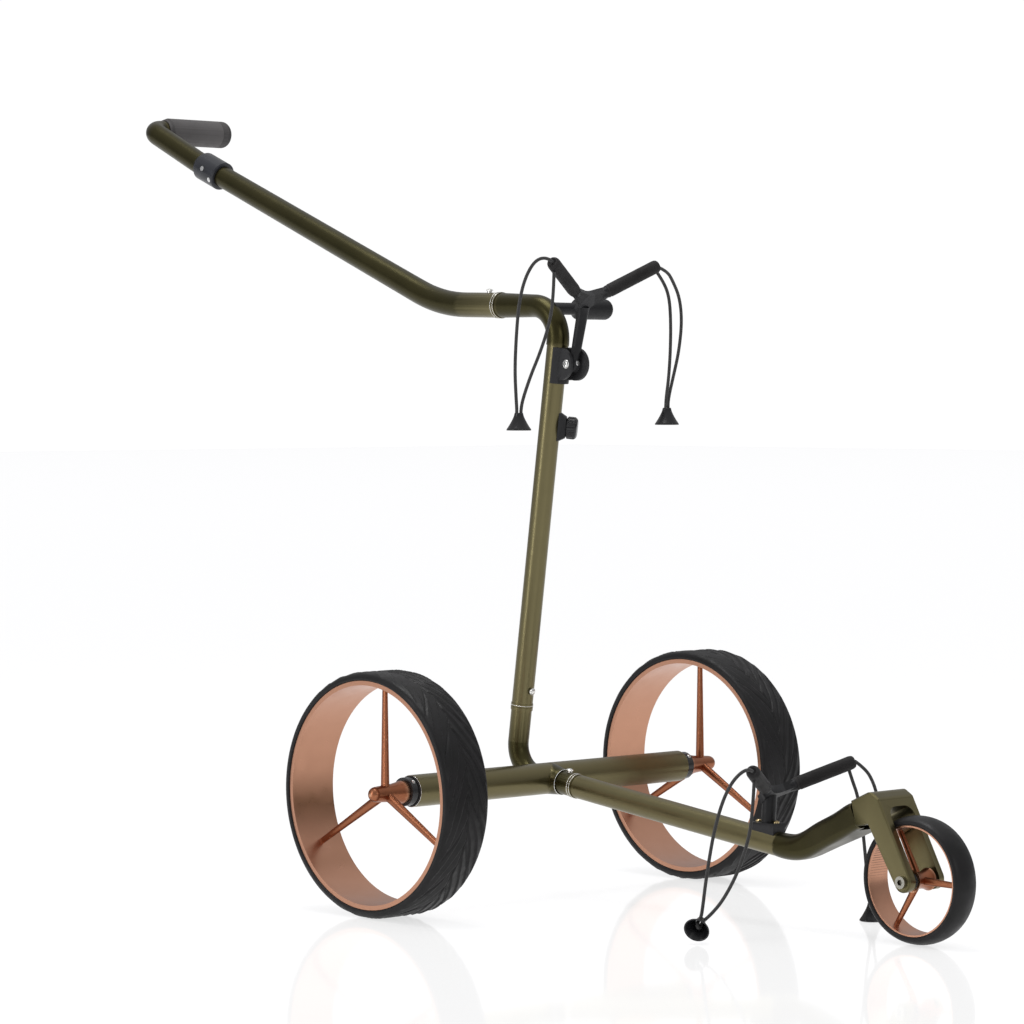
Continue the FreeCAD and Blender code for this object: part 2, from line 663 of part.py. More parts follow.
def mast():
    bore = mast_radius - tube_wall
    start = mast_joint + mast_line * (apart / 2)
    elbow_start = mast_corner - mast_line * elbow_drop
    button_base = mast_joint + mast_line * 21.0
    tube = rod(start, mast_line, (elbow_start - start).Length, mast_radius, bore)
    keep("mast_tube", tube.cut(button_hole(button_base, mast_front, mast_radius)))
    keep("mast_lock_button", lock_button(button_base, mast_front, mast_radius))

    bend_end = mast_corner + run_line * elbow_drop
    elbow = bent_tube([elbow_start, mast_corner, bend_end], [elbow_bend_radius],
                      elbow_radius, elbow_radius - tube_wall)
    plug = rod(elbow_start - mast_line * 40.0, mast_line, 42.0, bore - running, 7.5)
    plug = plug.fuse(rod(elbow_start, mast_line, 2.0, elbow_radius - 1.0, 7.5))
    widening = (handle_joint - bend_end).Length - apart / 2
    bore = handle_radius - tube_wall
    taper = cone(bend_end, run_line, widening, elbow_radius, handle_radius)
    taper = taper.cut(cone(bend_end, run_line, widening, elbow_radius - tube_wall, bore - 3 * running))
    lower, upper = -34.0, 40.0
    spigot = rod(handle_joint + run_line * lower, run_line, upper - lower, bore - running, bore - 3.5)
    spigot = spigot.cut(keyway(handle_joint, run_line, run_top, 10.0, upper + 1.0, bore))
    keep("elbow", elbow.fuse(taper).fuse(plug).fuse(spigot))

    low_ring = rod(start, mast_line, ring_length, mast_radius + ring_wall, mast_radius)
    high_ring = rod(handle_joint - run_line * (ring_length + apart / 2), run_line, ring_length,
                    handle_radius + ring_wall, handle_radius)
    keep("mast_rings", low_ring, high_ring)


def side_peg():
    """The short side grip at the elbow: a neck and a thick rounded end."""
    face = outline((0, 0), (7.5, 0), (7.5, 38.0), (9.0, 40.0), (peg_radius, 43.0),
                   (peg_radius, peg_length - 9.0),
                   ((peg_radius - 2.4, peg_length - 2.4), (5.0, peg_length)), (0, peg_length))
    peg = turned(face, peg_base, ACROSS)
    tangent = elbow_bend_radius * math.tan(mast_line.getAngle(run_line) / 2)
    centre = mast_corner - mast_line * tangent - mast_front * elbow_bend_radius
    ring = Part.makeTorus(elbow_bend_radius, elbow_radius + running, centre, ACROSS)
    keep("side_peg", peg.cut(ring))


def knob():
    """The clamp knob on the mast, turned a little to the left, and the saddle that it stands on."""
    middle = on_line(mast_joint, mast_line, knob_height)
    saddle_end = 20.0
    saddle = cone(middle, knob_line, saddle_end, 25.0, 13.5)
    turn = FreeCAD.Rotation(mast_line.cross(knob_line) * -1, knob_line, mast_line, "ZYX")
    sides = Part.makeBox(15, 80, 80, Vector(-7.5, 0, -40))
    sides.Placement = FreeCAD.Placement(middle, turn).multiply(sides.Placement)
    saddle = saddle.common(sides).cut(rod(middle - mast_line * 60, mast_line, 120, mast_radius + running))
    saddle = saddle.cut(rod(middle, knob_line, saddle_end + 1, 3.0 + running))
    keep("knob_saddle", saddle)
    start, end = saddle_end + apart, saddle_end + 14.2
    face = outline((0, start), (10.5, start), (knob_radius, start + 2.0), (knob_radius, end - 4.0),
                   ((knob_radius - 1.6, end - 1.3), (knob_radius - 5.0, end)), (0, end))
    body = turned(face, middle, knob_line)
    for i in range(14):
        side = FreeCAD.Rotation(knob_line, 360.0 / 14 * i).multVec(mast_line)
        foot = middle + knob_line * (start - 1) + side * (knob_radius + 0.9)
        body = body.cut(rod(foot, knob_line, end - start + 2, 1.9))
    stud = rod(middle + knob_line * (mast_radius + 0.5), knob_line, start - mast_radius, 3.0)
    keep("mast_knob", body.fuse(stud))


# ---- handle, turning hook and grip ----

def handle():
    bore = handle_radius - tube_wall
    start = handle_joint + run_line * (apart / 2)
    turn = run_line.getAngle(handle_line)
    tangent = handle_bend_radius * math.tan(turn / 2)
    cone_start = handle_corner + handle_line * tangent
    bent = bent_tube([start, handle_corner, cone_start + handle_line * 2.0], [handle_bend_radius],
                     handle_radius, bore)
    rest = handle_length - tangent - 2.0
    base = cone_start + handle_line * 2.0
    taper = cone(base, handle_line, rest, handle_radius, handle_end_radius)
    taper = taper.cut(cone(base, handle_line, rest, bore, handle_end_radius - tube_wall))
    button_base = handle_joint + run_line * 19.0
    tube = bent.fuse(taper).cut(button_hole(button_base, run_top, handle_radius))
    keep("handle_tube", tube)
    keep("handle_lock_button", lock_button(button_base, run_top, handle_radius))
    keep("handle_ring", rod(start, run_line, ring_length, handle_radius + ring_wall, handle_radius))


def clamp_collar():
    half = clamp_length / 2
    face = outline((handle_end_radius + 0.2, 0), (clamp_radius - 1.5, 0), (clamp_radius, 1.5),
                   (clamp_radius, clamp_length - 4.0), (clamp_radius - 2.5, clamp_length),
                   (hook_radius + running, clamp_length), (hook_radius + running, half),
                   (handle_end_radius + 0.2, half))
    collar = turned(face, clamp_base, handle_line)
    screws = []
    for along, turn in ((6.0, -22.0), (23.5, 7.0)):
        aim = FreeCAD.Rotation(handle_line, turn).multVec(ACROSS * -1)
        base = clamp_base + handle_line * along
        hole = rod(base + aim * (hook_radius + 1.2), aim, 12.0, 2.0)
        recess = rod(base + aim * (clamp_radius - 1.4), aim, 8.0, 3.4)
        collar = collar.cut(hole).cut(recess)
        screw = rod(base + aim * (hook_radius + 1.3), aim, 4.0, 2.0)
        screws.append(screw.fuse(rod(base + aim * (clamp_radius - 1.4), aim, 1.9, 3.2)))
    keep("handle_collar", collar)
    keep("collar_screws", *screws)


def hook_and_grip():
    end = hook_corner + ACROSS * (grip_end - 8.0)
    tube = bent_tube([hook_base, hook_knee_point, hook_corner, end], [400.0, hook_bend_radius],
                     hook_radius, hook_radius - tube_wall)
    keep("hook_tube", tube)
    bore = hook_radius + running
    face = outline((bore, grip_start), (bore + 1.2, grip_start), (grip_radius, grip_start + 7.0),
                   (grip_radius, grip_end), (3.0 + running, grip_end), (3.0 + running, grip_end - 8.0),
                   (bore, grip_end - 8.0))
    keep("grip", turned(face, hook_corner, ACROSS))
    start = grip_end + apart
    finish = start + dial_length
    face = outline((0, start), (grip_radius, start), (grip_radius, finish - 9.0),
                   ((grip_radius - 2.8, finish - 2.7), (grip_radius - 9.0, finish)), (0, finish))
    dial = turned(face, hook_corner, ACROSS)
    dial = dial.cut(rod(hook_corner + ACROSS * (finish - 6.0), ACROSS, 8.0, 5.0 + running))
    spindle = rod(hook_corner + ACROSS * (grip_end - 20.0), ACROSS, 20.0 + apart, 3.0)
    keep("speed_dial", dial.fuse(spindle))
    button = outline((0, finish - 6.0 + button_travel + 0.3), (5.0, finish - 6.0 + button_travel + 0.3),
                     (5.0, finish + 0.8), dome(5.0, finish + 0.8, 1.4))
    keep("power_button", turned(button, hook_corner, ACROSS))


# ---- elastic cords and their end caps ----

def arc_radii(points):
    radii = []
    for before, corner, after in zip(points, points[1:], points[2:]):
        turn = (corner - before).getAngle(after - corner)
        shorter = min((corner - before).Length, (after - corner).Length)
        radii.append(0.45 * shorter / math.tan(turn / 2))
    return radii


def cap(tip, axis):
    """A hollow cone; axis points from its tip to its open base."""
    face = outline((cap_bore, 0), (cap_bore + 1.2, 0), ((9.0, 8.0), (cap_radius - 0.6, cap_height - 2.5)),
                   (cap_radius, cap_height - 1.5), (cap_radius, cap_height), (cap_radius - 2.4, cap_height),
                   (cap_radius - 3.2, cap_height - 3.0), (cap_bore, 7.0))
    return turned(face, tip, axis)


cord_routes = {
    "upper_left_cord": [(89.6, -96.6, 763.6), (98.5, -96.2, 753.0), (107.5, -95.6, 737.0),
                        (111.6, -95.0, 707.0), (111.4, -94.8, 668.0), (108.4, -95.3, 634.0),
                        (105.4, -95.6, 610.5), (104.6, -95.8, 596.0), (104.5, -95.9, 586.0),
                        (112.3, -95.6, 586.0), (112.6, -95.4, 596.0), (113.9, -94.9, 611.0),
                        (122.5, -93.6, 638.0), (134.5, -91.2, 668.0), (141.0, -90.0, 704.0),
                        (136.0, -91.0, 733.0), (122.0, -94.6, 755.0), (105.0, -100.6, 770.0),
                        (90.8, -98.4, 772.3)],
    "upper_right_cord": [(-90.7, -98.3, 772.2), (-101.0, -99.4, 777.5), (-112.0, -90.5, 773.5),
                         (-120.5, -82.0, 752.0), (-126.5, -78.2, 722.0), (-129.2, -76.6, 684.0),
                         (-130.8, -75.8, 644.0), (-130.6, -75.7, 613.0), (-130.2, -76.0, 592.0),
                         (-130.0, -76.2, 580.5), (-123.2, -80.2, 580.5), (-122.9, -80.3, 591.0),
                         (-121.4, -81.2, 609.0), (-113.8, -85.2, 637.0), (-104.4, -90.4, 662.0),
                         (-95.0, -95.6, 693.0), (-88.8, -98.2, 726.0), (-86.6, -97.0, 760.2)],
    "lower_left_cord": [(82.4, -415.2, 177.2), (87.0, -415.6, 166.0), (94.5, -417.6, 148.0),
                        (100.0, -419.4, 118.0), (103.5, -421.0, 84.0), (105.6, -422.6, 54.0),
                        (107.0, -424.0, 33.0), (107.3, -425.0, 18.5), (107.5, -425.3, 8.5),
                        (115.5, -425.8, 8.5), (115.8, -425.6, 18.5), (117.0, -425.0, 33.0),
                        (121.5, -424.6, 56.0), (125.6, -424.6, 86.0), (126.0, -424.8, 118.0),
                        (121.0, -425.4, 145.0), (111.5, -425.8, 164.5), (100.0, -424.6, 179.0),
                        (88.2, -418.7, 188.3)],
    "lower_right_cord": [(-88.2, -418.7, 188.4), (-98.0, -423.0, 192.0), (-108.5, -419.5, 188.0),
                         (-119.5, -415.0, 176.0), (-131.0, -412.4, 156.0), (-142.5, -411.0, 125.0),
                         (-150.5, -410.2, 91.0), (-155.6, -409.6, 64.0), (-158.6, -409.1, 43.0),
                         (-163.0, -408.6, 28.2), (-174.2, -407.8, 21.6), (-170.2, -407.8, 14.8),
                         (-159.0, -408.6, 21.3), (-147.0, -410.2, 30.0), (-130.0, -411.8, 43.5),
                         (-110.5, -413.6, 68.5), (-95.5, -415.2, 98.0), (-85.0, -416.0, 131.0),
                         (-79.6, -413.9, 176.2)],
}
cord_caps = {
    "upper_cord_caps": [((108.5, -95.7, 598.5), (0.0, 0.0, -1.0)),
                        ((-126.5, -78.2, 593.0), (0.0, 0.0, -1.0))],
    "lower_cord_caps": [((111.5, -425.4, 21.4), (0.0, 0.0, -1.0)),
                        ((-161.0, -408.6, 24.7), (-0.86, 0.06, -0.5))],
}


def cords():
    for name, spots in cord_routes.items():
        points = [Vector(*spot) for spot in spots]
        radii = arc_radii(points)
        path = tangent_path(points, radii)
        cord = swept(path, points[0], points[1] - points[0], cord_radius)
        keep(name, cord)
        share = cord.Volume / (math.pi * cord_radius ** 2 * path.Length)
        print(name, "length", round(path.Length, 1), "volume share", round(share, 4),
              "radii", [round(r, 1) for r in radii])
    for name, places in cord_caps.items():
        keep(name, *[cap(Vector(*tip), Vector(*axis).normalize()) for tip, axis in places])


def save():
    """The origin goes to the floor under the middle of the length from tyre to grip."""
    front_reach = wheelbase + front_radius
    rear_reach = hook_corner.y + grip_radius
    shift = Vector(0, (front_reach - rear_reach) / 2, 0)
    os.makedirs("parts", exist_ok=True)
    for name, shape in pieces.items():
        shape.translate(shift)
        shape.exportStep("parts/" + name + ".step")
    return shift


for side_name, side_sign in (("right", -1), ("left", 1)):
    rear_wheel(side_name, side_sign)
    drive(side_name, side_sign)
front_wheel()
axle()
controller()
battery_socket()
stubs()
nose_tube()
beam_and_fork()
front_axle()
upper_bracket()
mast_clamp()
lower_bracket()
mast()
side_peg()
knob()
handle()
clamp_collar()
hook_and_grip()
cords()
row_shift = save()
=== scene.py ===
import bpy
import math
from mathutils import Matrix, Vector, noise


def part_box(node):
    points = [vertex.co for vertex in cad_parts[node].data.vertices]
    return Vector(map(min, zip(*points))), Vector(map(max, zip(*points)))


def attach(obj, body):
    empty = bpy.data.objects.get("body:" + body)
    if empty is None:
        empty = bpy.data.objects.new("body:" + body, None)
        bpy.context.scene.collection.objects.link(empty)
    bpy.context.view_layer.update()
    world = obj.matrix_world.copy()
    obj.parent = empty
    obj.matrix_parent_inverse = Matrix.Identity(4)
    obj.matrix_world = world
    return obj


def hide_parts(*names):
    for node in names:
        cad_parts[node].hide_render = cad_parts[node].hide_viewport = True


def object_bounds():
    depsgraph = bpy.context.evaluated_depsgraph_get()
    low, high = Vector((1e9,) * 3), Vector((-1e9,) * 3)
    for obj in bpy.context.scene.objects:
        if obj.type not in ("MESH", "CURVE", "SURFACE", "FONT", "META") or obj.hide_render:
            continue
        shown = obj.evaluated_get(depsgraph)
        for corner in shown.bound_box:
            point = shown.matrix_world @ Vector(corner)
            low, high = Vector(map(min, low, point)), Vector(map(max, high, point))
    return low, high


# Electric golf trolley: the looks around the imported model. Metres, in the row frame: +X is the trolley's
# left, -Y its front and Z is up from the floor.
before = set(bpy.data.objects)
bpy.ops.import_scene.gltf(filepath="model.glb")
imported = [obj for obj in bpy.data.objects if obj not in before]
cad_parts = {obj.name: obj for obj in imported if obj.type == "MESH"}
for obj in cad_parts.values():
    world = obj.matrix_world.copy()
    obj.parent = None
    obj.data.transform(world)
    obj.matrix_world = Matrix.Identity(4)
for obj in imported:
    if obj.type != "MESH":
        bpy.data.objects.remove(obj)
cad_low, cad_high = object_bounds()

AXLE_Y = -0.0620768
ACROSS = Vector((1, 0, 0))
UP = Vector((0, 0, 1))
DOWN = Vector((0, 0, -1))


def at(x, y, z):
    """A point given from the rear axle's middle on the floor, in millimetres."""
    return Vector((x / 1000, y / 1000 + AXLE_Y, z / 1000))


# ---- camera ----

YAW, PITCH = 0.7671, -0.0303
camera_data = bpy.data.cameras.new("camera")
camera_data.sensor_width = 36.0
camera_data.lens = 138.17
camera_data.clip_end = 60.0
camera = bpy.data.objects.new("camera", camera_data)
bpy.context.collection.objects.link(camera)
sight = Vector((math.sin(YAW) * math.cos(PITCH), math.cos(YAW) * math.cos(PITCH), math.sin(PITCH)))
camera.location = (-3.3654, -3.4883, 0.6166)
camera.rotation_euler = sight.to_track_quat("-Z", "Y").to_euler()
bpy.context.scene.camera = camera
bpy.context.scene.view_settings.view_transform = "Standard"


# ---- materials ----

class Nodes:
    """A small help for node materials: every map is in object coordinates, in metres."""

    def __init__(self, name):
        self.material = bpy.data.materials.new(name)
        self.material.use_nodes = True
        self.tree = self.material.node_tree
        self.shader = self.tree.nodes["Principled BSDF"]
        self.place = self.tree.nodes.new("ShaderNodeTexCoord").outputs["Object"]

    def new(self, kind, **settings):
        node = self.tree.nodes.new(kind)
        for key, value in settings.items():
            setattr(node, key, value)
        return node

    def link(self, source, target):
        self.tree.links.new(source, target)

    def feed(self, socket, value):
        """A socket takes a number or a colour as it is, or the output of another node."""
        if isinstance(value, tuple):
            socket.default_value = (*value, 1.0)
        elif isinstance(value, float):
            socket.default_value = value
        else:
            self.link(value, socket)

    def stretched(self, scale):
        mapping = self.new("ShaderNodeMapping")
        mapping.inputs["Scale"].default_value = scale
        self.link(self.place, mapping.inputs["Vector"])
        return mapping.outputs["Vector"]

    def noise(self, scale, detail=4.0, vector=None):
        node = self.new("ShaderNodeTexNoise")
        node.inputs["Scale"].default_value = scale
        node.inputs["Detail"].default_value = detail
        self.link(vector or self.place, node.inputs["Vector"])
        return node.outputs["Fac"]

    def spread(self, source, low, high, start=0.3, end=0.7):
        """The range from start to end, widened to the range from low to high."""
        node = self.new("ShaderNodeMapRange")
        node.inputs["From Min"].default_value = start
        node.inputs["From Max"].default_value = end
        node.inputs["To Min"].default_value = low
        node.inputs["To Max"].default_value = high
        self.link(source, node.inputs["Value"])
        return node.outputs["Result"]

    def mix(self, factor, first, second):
        node = self.new("ShaderNodeMix", data_type="RGBA")
        colours = [socket for socket in node.inputs if socket.type == "RGBA"]
        for socket, value in zip(colours, (first, second)):
            self.feed(socket, value)
        self.link(factor, node.inputs[0])
        return [socket for socket in node.outputs if socket.type == "RGBA"][0]

    def combine(self, first, second, kind="ADD"):
        node = self.new("ShaderNodeMath", operation=kind)
        for socket, value in zip(node.inputs, (first, second)):
            self.feed(socket, value)
        return node.outputs["Value"]

    def bump(self, height, distance, strength):
        node = self.new("ShaderNodeBump")
        node.inputs["Distance"].default_value = distance
        node.inputs["Strength"].default_value = strength
        self.link(height, node.inputs["Height"])
        self.link(node.outputs["Normal"], self.shader.inputs["Normal"])

    def edges(self):
        """White along outer edges: where wear shows, and on moulded parts also a painted highlight along
        edges and groove lips.
        """
        pointy = self.new("ShaderNodeNewGeometry").outputs["Pointiness"]
        return self.spread(pointy, 0.0, 1.0, 0.52, 0.6)

    def finish(self, colour, roughness, **sockets):
        self.link(colour, self.shader.inputs["Base Color"])
        self.link(roughness, self.shader.inputs["Roughness"])
        for key, value in sockets.items():
            self.shader.inputs[key.replace("_", " ")].default_value = value
        return self.material


def metal(name, dark, light, worn, rough, flake, grain=(1, 1, 1), **sockets):
    """Satin metal: large soft shade changes, a fine flake or brushed grain, and brighter edges."""
    n = Nodes(name)
    shade = n.mix(n.spread(n.noise(14.0), 0.0, 1.0), dark, light)
    fine = n.noise(flake, 2.0, n.stretched(grain))
    shade = n.mix(n.spread(fine, 0.0, 0.35), shade, light)
    shade = n.mix(n.edges(), shade, worn)
    roughness = n.combine(n.spread(n.noise(60.0), *rough), n.spread(fine, -0.02, 0.03))
    n.bump(fine, 0.00002, 0.35)
    return n.finish(shade, roughness, Metallic=1.0, **sockets)


def moulded(name, dark, light, rough, grain, depth, **sockets):
    """Moulded plastic or rubber: a fine pebbled grain, faint flow marks and edges lightened partly as rubbed
    wear, partly as a painted highlight.
    """
    n = Nodes(name)
    shade = n.mix(n.spread(n.noise(30.0), 0.0, 1.0), dark, light)
    pebble = n.new("ShaderNodeTexVoronoi", feature="SMOOTH_F1")
    pebble.inputs["Scale"].default_value = grain
    n.link(n.place, pebble.inputs["Vector"])
    # The lighter edge colour is partly rubbed wear and partly a painted highlight, as on the tyre's groove
    # lips.
    rubbed_and_highlight = tuple(min(1.0, 2.2 * c + 0.012) for c in light)
    shade = n.mix(n.spread(n.edges(), 0.0, 0.6, 0.0, 1.0), shade, rubbed_and_highlight)
    roughness = n.spread(n.noise(90.0), *rough)
    height = n.combine(pebble.outputs["Distance"], n.noise(grain * 2.3, 2.0))
    n.bump(height, depth, 0.6)
    return n.finish(shade, roughness, **sockets)


def braided(name):
    """Elastic cord: a black woven sleeve whose crossing threads catch a little light."""
    n = Nodes(name)
    waves = []
    for tilt in (0.75, -0.75):
        mapping = n.new("ShaderNodeMapping")
        mapping.inputs["Rotation"].default_value = (tilt, 0.5 * tilt, 0.0)
        n.link(n.place, mapping.inputs["Vector"])
        wave = n.new("ShaderNodeTexWave", wave_type="BANDS", bands_direction="Z")
        wave.inputs["Scale"].default_value = 260.0
        wave.inputs["Distortion"].default_value = 1.2
        n.link(mapping.outputs["Vector"], wave.inputs["Vector"])
        waves.append(wave.outputs["Fac"])
    weave = n.combine(waves[0], waves[1], "MAXIMUM")
    shade = n.mix(n.spread(weave, 0.0, 1.0), (0.004, 0.004, 0.004), (0.028, 0.027, 0.027))
    n.bump(weave, 0.00035, 0.8)
    return n.finish(shade, n.spread(n.noise(200.0), 0.55, 0.8), Sheen_Weight=0.15)


olive = metal("olive_satin", dark=(0.038, 0.034, 0.013), light=(0.048, 0.042, 0.016),
              worn=(0.15, 0.13, 0.065), rough=(0.30, 0.37), flake=2600.0,
              Coat_Weight=0.06, Coat_Roughness=0.3)
copper = metal("copper_satin", dark=(0.27, 0.098, 0.048), light=(0.32, 0.120, 0.060),
               worn=(0.62, 0.34, 0.21), rough=(0.28, 0.36), flake=2200.0,
               Coat_Weight=0.05, Coat_Roughness=0.3)
copper_rim = metal("copper_rim", dark=(0.125, 0.062, 0.040), light=(0.155, 0.078, 0.052),
                   worn=(0.5, 0.26, 0.17), rough=(0.28, 0.36), flake=2200.0,
                   Coat_Weight=0.05, Coat_Roughness=0.3)
dark_steel = metal("axle_bolt_dark", dark=(0.07, 0.065, 0.05), light=(0.10, 0.094, 0.075),
                   worn=(0.35, 0.34, 0.3), rough=(0.24, 0.34), flake=1200.0, grain=(1, 6, 6))
silver = metal("ring_silver", dark=(0.62, 0.61, 0.58), light=(0.78, 0.77, 0.74),
               worn=(0.95, 0.95, 0.93), rough=(0.16, 0.24), flake=900.0, grain=(1, 1, 9))
steel = metal("bolt_steel", dark=(0.48, 0.48, 0.47), light=(0.62, 0.62, 0.61),
              worn=(0.9, 0.9, 0.9), rough=(0.2, 0.3), flake=1200.0, grain=(1, 6, 6))
brass = metal("brass_screw", dark=(0.22, 0.15, 0.06), light=(0.32, 0.23, 0.10),
              worn=(0.75, 0.62, 0.36), rough=(0.2, 0.3), flake=1500.0)
black = moulded("black_moulding", dark=(0.005, 0.005, 0.006), light=(0.010, 0.010, 0.011),
                rough=(0.4, 0.52), grain=1500.0, depth=0.00006, Specular_IOR_Level=0.24)
gloss = moulded("cap_gloss", dark=(0.004, 0.004, 0.005), light=(0.008, 0.008, 0.009),
                rough=(0.2, 0.3), grain=900.0, depth=0.00002, Specular_IOR_Level=0.4)
foam = moulded("sleeve_foam", dark=(0.009, 0.008, 0.008), light=(0.018, 0.017, 0.017),
               rough=(0.62, 0.78), grain=2100.0, depth=0.00018, Specular_IOR_Level=0.2,
               Sheen_Weight=0.04)
collar_black = moulded("collar_black", dark=(0.006, 0.007, 0.010), light=(0.011, 0.012, 0.016),
                       rough=(0.26, 0.36), grain=1200.0, depth=0.00003, Specular_IOR_Level=0.4)
grip_rubber = moulded("grip_rubber", dark=(0.032, 0.030, 0.030), light=(0.052, 0.049, 0.049),
                      rough=(0.55, 0.7), grain=1300.0, depth=0.00014, Specular_IOR_Level=0.25)
tread_rubber = moulded("tyre_rubber", dark=(0.005, 0.005, 0.005), light=(0.010, 0.009, 0.010),
                       rough=(0.38, 0.54), grain=1100.0, depth=0.00005, Specular_IOR_Level=0.24)
board_green = moulded("board_green", dark=(0.01, 0.09, 0.04), light=(0.02, 0.16, 0.07),
                      rough=(0.3, 0.4), grain=500.0, depth=0.00005)
cord_weave = braided("cord_weave")

node_finish = {
    olive: ("axle_tube", "mast_stub", "front_stub", "front_tube", "front_beam", "mast_tube", "elbow",
            "handle_tube", "hook_tube", "stub_rings", "front_ring", "mast_rings", "handle_ring"),
    silver: ("front_lock_button", "mast_lock_button", "handle_lock_button"),
    dark_steel: ("front_axle_bolts",),
    steel: ("pivot_bolt", "front_axle", "collar_screws", "right_wheel_catch",
            "left_wheel_catch", "axle_bearings", "front_wheel_bearings", "drive_motors", "drive_gearboxes"),
    black: ("battery_socket", "end_caps", "front_axle_spacers", "lower_bracket", "upper_bracket", "side_peg",
            "mast_clamp", "knob_saddle"),
    gloss: ("mast_knob", "power_button", "upper_cord_caps", "lower_cord_caps", "right_drive_shaft",
            "left_drive_shaft"),
    collar_black: ("handle_collar",),
    board_green: ("controller_board",),
    foam: ("upper_sleeves", "lower_sleeves"),
    grip_rubber: ("grip", "speed_dial"),
    copper: ("right_spider", "left_spider", "front_spider"),
    copper_rim: ("right_rim", "left_rim", "front_rim"),
    tread_rubber: ("right_tyre", "left_tyre", "front_tyre"),
    brass: ("lower_bracket_screws",),
    cord_weave: ("upper_left_cord", "upper_right_cord", "lower_left_cord", "lower_right_cord"),
}
for finish, names in node_finish.items():
    for name in names:
        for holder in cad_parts[name].material_slots:
            holder.material = finish


# ---- mesh helpers ----

def placed(name, parts, material, body, smooth=True):
    """One object from several parts, each a matrix and a mesh, riding on a body."""
    verts, faces = joined(parts)
    mesh = bpy.data.meshes.new(name)
    mesh.from_pydata([tuple(v) for v in verts], [], faces)
    mesh.validate()
    if smooth:
        mesh.polygons.foreach_set("use_smooth", [True] * len(mesh.polygons))
    mesh.materials.append(material)
    obj = bpy.data.objects.new(name, mesh)
    bpy.context.collection.objects.link(obj)
    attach(obj, body)
    return obj


def joined(parts):
    verts, faces = [], []
    for matrix, (more_verts, more_faces) in parts:
        start = len(verts)
        verts += [matrix @ v for v in more_verts]
        faces += [tuple(start + i for i in face) for face in more_faces]
    return verts, faces


def turn_to(axis, base):
    """The matrix that takes the Z axis to an axis through base."""
    return Matrix.Translation(base) @ axis.normalized().to_track_quat("Z", "Y").to_matrix().to_4x4()


def swept_points(profile, segments, shape):
    """The profile's (radius, along) pairs turned round Z; shape may move each point."""
    verts = []
    for i in range(segments):
        angle = 2 * math.pi * i / segments
        for radius, along in profile:
            if shape:
                radius, along = shape(angle, radius, along)
            verts.append(Vector((radius * math.cos(angle), radius * math.sin(angle), along)))
    return verts


def ring_mesh(profile, segments, shape=None):
    """A closed profile swept round Z."""
    faces = []
    count = len(profile)
    for i in range(segments):
        after = (i + 1) % segments
        for j in range(count):
            k = (j + 1) % count
            faces.append((i * count + j, after * count + j, after * count + k, i * count + k))
    return swept_points(profile, segments, shape), faces


def lathe_mesh(profile, segments, shape=None):
    """An open profile that starts and ends on the axis, swept round Z into a closed solid."""
    inner = profile[1:-1]
    verts = swept_points(inner, segments, shape)
    faces = []
    count = len(inner)
    for i in range(segments):
        after = (i + 1) % segments
        for j in range(count - 1):
            faces.append((i * count + j, after * count + j, after * count + j + 1, i * count + j + 1))
    first, last = len(verts), len(verts) + 1
    verts += [Vector((0, 0, profile[0][1])), Vector((0, 0, profile[-1][1]))]
    for i in range(segments):
        after = (i + 1) % segments
        faces.append((i * count, first, after * count))
        faces.append((i * count + count - 1, after * count + count - 1, last))
    return verts, faces


def arc(centre, radius, start, end, steps):
    """Points of an arc in (radius, along), angles in degrees from the radial direction."""
    points = []
    for i in range(steps + 1):
        angle = math.radians(start + (end - start) * i / steps)
        points.append((centre[0] + radius * math.cos(angle), centre[1] + radius * math.sin(angle)))
    return points


def mirrored(side):
    """The other side wall of a tyre, from the tread down."""
    return [(radius, -along) for radius, along in reversed(side)]


# ---- elastic cords: one NURBS spline each, near the CAD tubes' own points, in metres ----

